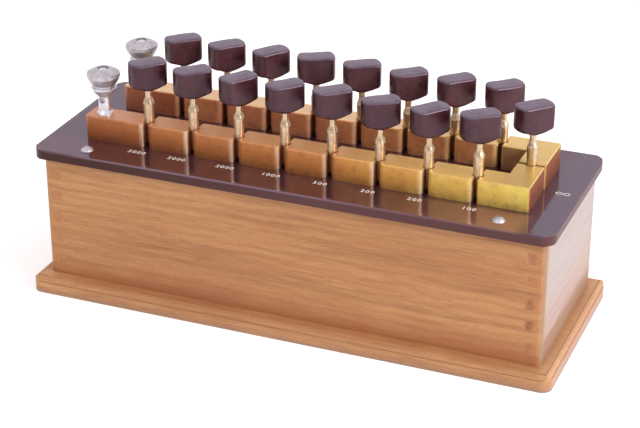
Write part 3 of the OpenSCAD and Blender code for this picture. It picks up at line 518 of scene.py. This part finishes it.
looks = {
    "plinth": W_BASE, "front_wall": W_LONG, "rear_wall": W_BACK,
    "left_end": W_LEFT, "right_end": W_RIGHT, "top_panel": EBONITE,
    "front_terminal_block": BRASS, "front_row_blocks": BRASS, "front_end_block": BRASS,
    "rear_terminal_block": BRASS_R, "rear_row_blocks": BRASS_R, "rear_end_block": BRASS_R,
    "front_terminal_post": POST, "rear_terminal_post": POST,
    "front_terminal_washer": NICKEL, "rear_terminal_washer": NICKEL,
    "front_terminal_nut": NICKEL, "rear_terminal_nut": NICKEL,
    "panel_screws": NICKEL, "plinth_screws": INNER, "block_studs": INNER,
    "stud_nuts": INNER, "coil_bobbins": W_BOB, "coil_windings": SILK, "coil_leads": COPPER,
}
for name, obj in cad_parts.items():
    mat = looks.get(name)
    if mat is None:
        mat = PIN if "_pin" in name else GRIP
    obj.data.materials.clear()
    obj.data.materials.append(mat)


# ---- new shapes ----------------------------------------------------------------
def add_mesh(name, verts, faces, mat, body, smooth=True):
    me = bpy.data.meshes.new(name)
    me.from_pydata([tuple(c * MM for c in v) for v in verts], [], faces)
    me.validate()
    me.update()
    ob = bpy.data.objects.new(name, me)
    bpy.context.scene.collection.objects.link(ob)
    me.materials.append(mat)
    if smooth:
        me.polygons.foreach_set("use_smooth", [True] * len(me.polygons))
    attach(ob, body)
    return ob


def loft(rings, close_bottom=True, close_top=True):
    """Faces between rings of equal length; the ends close on a centre point."""
    n = len(rings[0])
    verts = [p for r in rings for p in r]
    faces = []
    for k in range(len(rings) - 1):
        for i in range(n):
            j = (i + 1) % n
            faces.append((k * n + i, k * n + j, (k + 1) * n + j, (k + 1) * n + i))
    if close_bottom:
        c = len(verts)
        verts.append(tuple(sum(p[a] for p in rings[0]) / n for a in range(3)))
        faces += [(c, (i + 1) % n, i) for i in range(n)]
    if close_top:
        c = len(verts)
        base = (len(rings) - 1) * n
        verts.append(tuple(sum(p[a] for p in rings[-1]) / n for a in range(3)))
        faces += [(c, base + i, base + (i + 1) % n) for i in range(n)]
    return verts, faces


def grip(name, body, node, x, y, turn, drop, seed):
    """Flat ebonite grip: round ends, two flats, coned underside, eased edges."""
    rng = random.Random(seed)
    R = 9.3 * (1 + rng.uniform(-0.004, 0.004))
    H = 5.4
    z0, z1 = 16.22, 30.6
    e = 1.3
    n = 144
    p = 15.0
    # height, radius, half thickness left to the flats, inset of the top edge
    levels = [(z0 + 8.55, 1.53, H, 0), (z0 + 0.3, 1.53, H, 0), (z0, 1.8, H, 0), (z0, 2.6, H, 0)]
    for k in range(0, 4):
        a = math.radians(30 * k)
        levels.append((z0 + 0.35 * (1 - math.cos(a)), 3.0 + 0.6 * math.sin(a), H, 0))
    for k in range(1, 6):
        f = k / 6
        levels.append((z0 + 0.35 + 2.05 * f, 3.6 + (R - 1.1 - 3.6) * f, H, 0))
    for k in range(0, 6):
        a = math.radians(18 * k)
        levels.append((z0 + 2.4 + 1.4 * (1 - math.cos(a)), R - 1.1 + 1.1 * math.sin(a), H, 0))
    for f in (0.15, 0.35, 0.6, 0.85):
        levels.append((z0 + 3.8 + (z1 - e - z0 - 3.8) * f, R, H, 0))
    for k in range(0, 8):
        a = math.radians(90 * k / 7)
        levels.append((z1 - e + e * math.sin(a) - 0.06, R, H, e * (1 - math.cos(a))))
    for ins in (2.0, 2.8, 3.6, 4.3, 4.9):
        levels.append((z1 - 0.06 + 0.12 * (ins - 1.3) / 3.6, R, H, ins))
    lean = rng.uniform(-0.12, 0.12)
    ph = rng.uniform(0, 6.28)
    rings = []
    ca, sa = math.cos(math.radians(turn)), math.sin(math.radians(turn))
    for z, r, h, ins in levels:
        r_, h_ = r - ins, max(h - ins, 0.4)
        ring = []
        for i in range(n):
            t = 2 * math.pi * i / n
            lim = h_ / max(abs(math.sin(t)), 1e-6)
            rho = (r_ ** -p + lim ** -p) ** (-1 / p)
            px, py = rho * math.cos(t), rho * math.sin(t)
            zz = z
            if z > 26.5:
                zz += (lean * px / 10 + 0.08 * math.sin(px * 0.45 + ph)) * (z - 26.5) / 4.1
            ring.append((x + px * ca - py * sa, y + px * sa + py * ca, TOP + zz - drop))
        rings.append(ring)
    verts, faces = loft(rings)
    ob = add_mesh(name, verts, faces, GRIP, body)
    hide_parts(node)
    return ob


for k in range(8):
    grip(f"grip_front_{k + 1}", f"front_{k + 1}_plug", f"front_grip_{k + 1}",
         FIRST_X + k * PITCH, ROW_F, FRONT_TURN[k], FRONT_SEAT[k], 11 + k)
    grip(f"grip_rear_{k + 1}", f"rear_{k + 1}_plug", f"rear_grip_{k + 1}",
         FIRST_X + REAR_DX + k * PITCH, ROW_R, REAR_TURN[k], REAR_SEAT[k], 41 + k)
grip("grip_end", "end_plug", "end_grip", BAR_X, GAP_Y, END_TURN, END_SEAT, 77)


def nut(name, body, node, y):
    """Domed terminal nut with a milled belt and an open thread."""
    n = 240
    prof = [(2.06, 0.02, 0), (5.2, 0.0, 0), (5.62, 0.05, 0), (5.92, 0.28, 0), (6.18, 0.65, 0), (6.48, 1.05, 0), (6.85, 1.7, 0),
            (7.2, 2.35, 0), (7.5, 2.95, 0), (7.75, 3.5, 0), (7.93, 3.95, 0), (8.05, 4.2, 0), (8.1, 4.4, 1), (8.12, 4.8, 1),
            (8.12, 5.3, 1), (8.08, 5.65, 1), (7.98, 5.88, 0), (7.72, 6.12, 0), (7.2, 6.5, 0), (6.5, 6.93, 0), (5.6, 7.4, 0),
            (4.6, 7.83, 0), (3.8, 8.1, 0), (3.2, 8.26, 0), (2.95, 8.26, 0), (2.75, 8.16, 0), (2.4, 7.8, 0), (2.12, 7.5, 0), (2.06, 7.2, 0),
            (2.06, 0.02, 0)]
    rings = []
    for r, z, mill in prof:
        ring = []
        for i in range(n):
            t = 2 * math.pi * i / n
            rr = r - (0.30 * (0.5 + 0.5 * math.cos(t * 48)) if mill else 0.0)
            ring.append((TERM_X + rr * math.cos(t), y + rr * math.sin(t), NUT_Z + z))
        rings.append(ring)
    verts, faces = loft(rings[:-1], False, False)
    m = len(rings) - 1
    faces += [((m - 1) * n + i, (m - 1) * n + (i + 1) % n, (i + 1) % n, i) for i in range(n)]
    ob = add_mesh(name, verts, faces, NICKEL, body)
    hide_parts(node)
    return ob


nut("nut_front", "front_nut", "front_terminal_nut", ROW_F)
nut("nut_rear", "rear_nut", "rear_terminal_nut", ROW_R)


# ---- engraved numbers ------------------------------------------------------------
def number(name, text, x, y, size=4.0, turn=0.0):
    cu = bpy.data.curves.new(name + "_line", "FONT")
    cu.body = text
    cu.size = size * MM
    cu.align_x = "CENTER"
    cu.align_y = "CENTER"
    cu.space_character = 1.22
    cu.extrude = 0.03 * MM
    cu.offset = 0.04 * MM
    cu.resolution_u = 3
    tmp = bpy.data.objects.new(name + "_line", cu)
    bpy.context.scene.collection.objects.link(tmp)
    tmp.matrix_world = Matrix.Translation(Vector((x, y, DECK + 0.012)) * MM) @ Matrix.Rotation(turn, 4, "Z")
    bpy.context.view_layer.update()
    dg = bpy.context.evaluated_depsgraph_get()
    me = bpy.data.meshes.new_from_object(tmp.evaluated_get(dg))
    me.transform(tmp.matrix_world)
    bpy.data.objects.remove(tmp)
    ob = bpy.data.objects.new(name, me)
    bpy.context.scene.collection.objects.link(ob)
    me.materials.clear()
    me.materials.append(PAINT)
    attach(ob, "box")
    return ob


FRONT_NUM = ["5000", "2000", "2000", "1000", "500", "200", "200", "100"]
REAR_NUM = ["1", "2", "2", "5", "10", "20", "20", "50"]
FRONT_AT = [-81.2, -60.1, -34.8, -11.2, 13.6, 37.2, 60.0, 86.0]
for k in range(8):
    number(f"number_front_{k + 1}", FRONT_NUM[k], FRONT_AT[k], -32.35)
    number(f"number_rear_{k + 1}", REAR_NUM[k], FIRST_X + REAR_DX + k * PITCH - 0.5, ROW_R + 13.2)


def infinity(name, x, y):
    """The open-circuit mark, drawn as a figure of eight."""
    n = 64
    verts, faces = [], []
    for i in range(n):
        t = 2 * math.pi * i / n
        d = 1 + math.sin(t) ** 2
        px, py = 3.2 * math.cos(t) / d, 3.2 * math.sin(t) * math.cos(t) / d
        t2 = t + 1e-3
        d2 = 1 + math.sin(t2) ** 2
        qx, qy = 3.2 * math.cos(t2) / d2, 3.2 * math.sin(t2) * math.cos(t2) / d2
        tx, ty = qx - px, qy - py
        ln = math.hypot(tx, ty) or 1
        nx, ny = -ty / ln * 0.23, tx / ln * 0.23
        verts += [(x + px + nx, y + py + ny, DECK + 0.035), (x + px - nx, y + py - ny, DECK + 0.035),
                  (x + px - nx, y + py - ny, DECK + 0.005), (x + px + nx, y + py + ny, DECK + 0.005)]
    for i in range(n):
        a, b = 4 * i, 4 * ((i + 1) % n)
        for s in range(4):
            u = (s + 1) % 4
            faces.append((a + s, a + u, b + u, b + s))
    return add_mesh(name, verts, faces, PAINT, "box", smooth=False)


infinity("number_end", 121.2, -1.25)

# ---- stage -----------------------------------------------------------------------
scene = bpy.context.scene


def floor():
    me = bpy.data.meshes.new("floor")
    s = 6.0
    z = -0.0001
    me.from_pydata([(-s, -s, z), (s, -s, z), (s, s, z), (-s, s, z)], [], [(0, 1, 2, 3)])
    ob = bpy.data.objects.new("floor", me)
    scene.collection.objects.link(ob)
    g = Graph("floor_white")
    n = g.noise(g.mapping(scale=(6, 6, 6)), 1.0, 2.0, 0.5)
    g.shader(Base_Color=g.mix(n, (0.90, 0.90, 0.90), (0.93, 0.93, 0.93)), Roughness=0.9)
    g.bsdf.inputs["Emission Color"].default_value = (1, 1, 1, 1)
    g.bsdf.inputs["Emission Strength"].default_value = 0.26
    g.bsdf.inputs["Specular IOR Level"].default_value = 0.1
    # clear from below, so that the underside of the box can be looked at
    clear = g.nt.nodes.new("ShaderNodeBsdfTransparent")
    either = g.nt.nodes.new("ShaderNodeMixShader")
    g.put(either.inputs[0], g.geo.outputs["Backfacing"])
    g.put(either.inputs[1], g.bsdf.outputs["BSDF"])
    g.put(either.inputs[2], clear.outputs[0])
    g.nt.links.new(either.outputs[0], g.out.inputs["Surface"])
    me.materials.append(g.mat)
    return ob


floor()


def area(name, loc, target, size, power, colour=(1, 1, 1)):
    li = bpy.data.lights.new(name, "AREA")
    li.shape = "RECTANGLE"
    li.size, li.size_y = size
    li.energy = power
    li.color = colour
    ob = bpy.data.objects.new(name, li)
    scene.collection.objects.link(ob)
    d = Vector(target) - Vector(loc)
    ob.matrix_world = Matrix.Translation(loc) @ d.to_track_quat("-Z", "Y").to_matrix().to_4x4()
    return ob


area("key", (-0.7, -1.7, 1.9), (0, 0, 0.05), (1.6, 1.2), 10.5)
area("right", (1.65, -0.36, 0.86), (0.1, 0, 0.07), (0.7, 0.6), 26, (1.0, 0.98, 1.0))

world = bpy.data.worlds.new("studio")
scene.world = world
world.use_nodes = True
wt = world.node_tree
sky = wt.nodes["Background"]
ray = wt.nodes.new("ShaderNodeTexCoord")
part = wt.nodes.new("ShaderNodeSeparateXYZ")
wt.links.new(ray.outputs["Generated"], part.inputs[0])
fade = wt.nodes.new("ShaderNodeMapRange")
wt.links.new(part.outputs[1], fade.inputs["Value"])
fade.inputs["From Min"].default_value = -0.9
fade.inputs["From Max"].default_value = 0.5
fade.inputs["To Min"].default_value = 0.56
fade.inputs["To Max"].default_value = 1.05
wt.links.new(fade.outputs["Result"], sky.inputs["Strength"])
tone = wt.nodes.new("ShaderNodeMix")
tone.data_type = "RGBA"
wt.links.new(part.outputs[1], tone.inputs[0])
tone.inputs[6].default_value = (1, 1, 1, 1)
tone.inputs[7].default_value = (1.0, 0.92, 1.0, 1)
wt.links.new(tone.outputs[2], sky.inputs["Color"])

# ---- camera ------------------------------------------------------------------------
yaw, pitch, roll = 0.3840325, 0.4539360, -0.0007795
d = Vector((-math.sin(yaw) * math.cos(pitch), math.cos(yaw) * math.cos(pitch), -math.sin(pitch)))
r = d.cross(Vector((0, 0, 1))).normalized()
u = r.cross(d)
r2 = math.cos(roll) * r + math.sin(roll) * u
u2 = -math.sin(roll) * r + math.cos(roll) * u
cam_data = bpy.data.cameras.new("camera")
cam_data.sensor_width = 36.0
cam_data.sensor_fit = "HORIZONTAL"
cam_data.lens = 104.511
cam_data.shift_x = 0.0086
cam_data.shift_y = -0.0026
cam = bpy.data.objects.new("camera", cam_data)
scene.collection.objects.link(cam)
m = Matrix((r2, u2, -d)).transposed().to_4x4()
m.translation = Vector((0.3036877, -0.7566717, 0.4418324))
cam.matrix_world = m
scene.camera = cam
scene.view_settings.view_transform = "Standard"

# ---- update the view layer -----------------------------------------------------------
bpy.context.view_layer.update()
